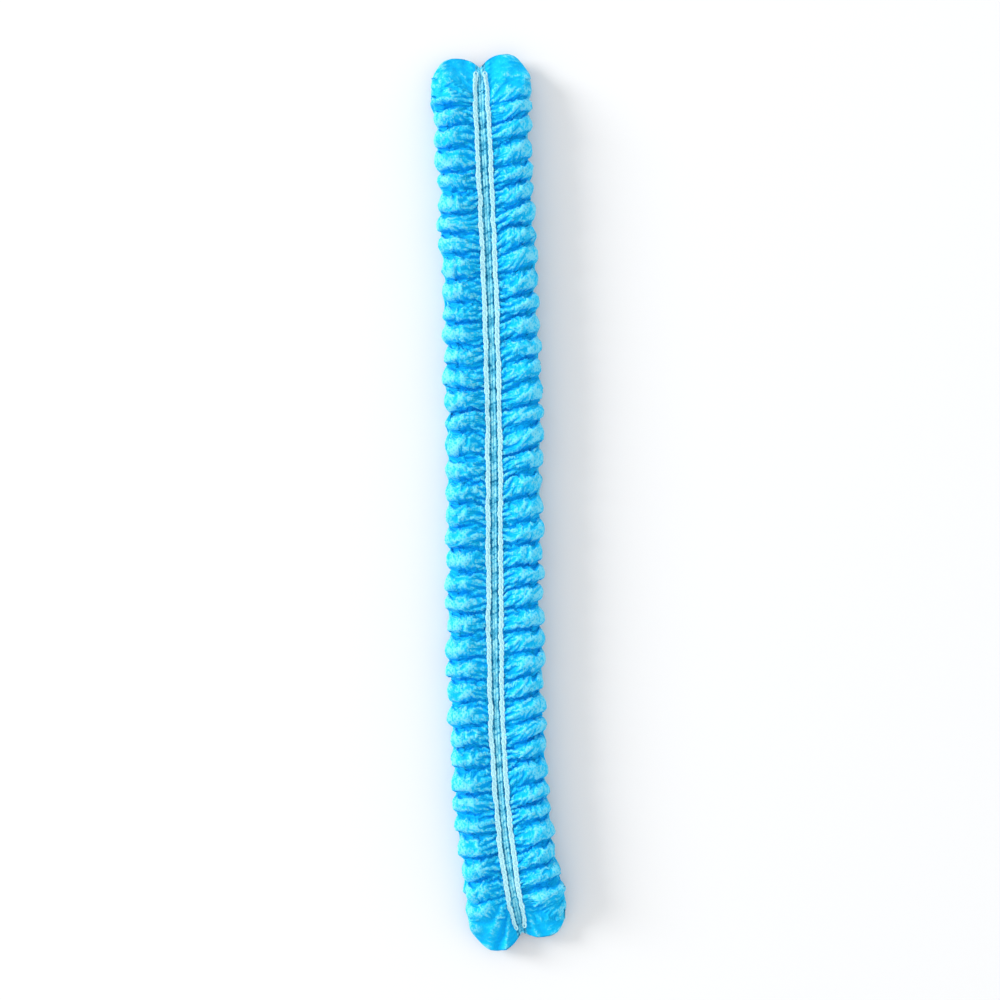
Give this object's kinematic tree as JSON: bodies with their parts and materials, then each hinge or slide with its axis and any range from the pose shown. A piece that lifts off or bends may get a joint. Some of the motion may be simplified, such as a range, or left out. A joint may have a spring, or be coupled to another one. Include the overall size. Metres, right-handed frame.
{
  "type": "mob cap",
  "caption": "Disposable mob cap of light blue nonwoven cloth, folded into a narrow gathered strip, with elastic cords along its mouth.",
  "frame": {"origin": "middle of the underside of the strip's box, on the surface that it lies on", "axes": "+Y along the strip; +Z up, out of the face on which the elastic cords and the mouth lie; +X to the right, seen from above with +Y up"},
  "size_m": [0.032, 0.2108, 0.0105],
  "materials": {
    "nonwoven_cloth": "light blue spunbond nonwoven, soft and slightly translucent",
    "elastic_cord": "white thread-wrapped elastic cord"
  },
  "bodies": {
    "root": {"cap_cloth": "nonwoven_cloth", "elastic_cord_left": "elastic_cord", "elastic_cord_right": "elastic_cord"}
  },
  "joints": []
}
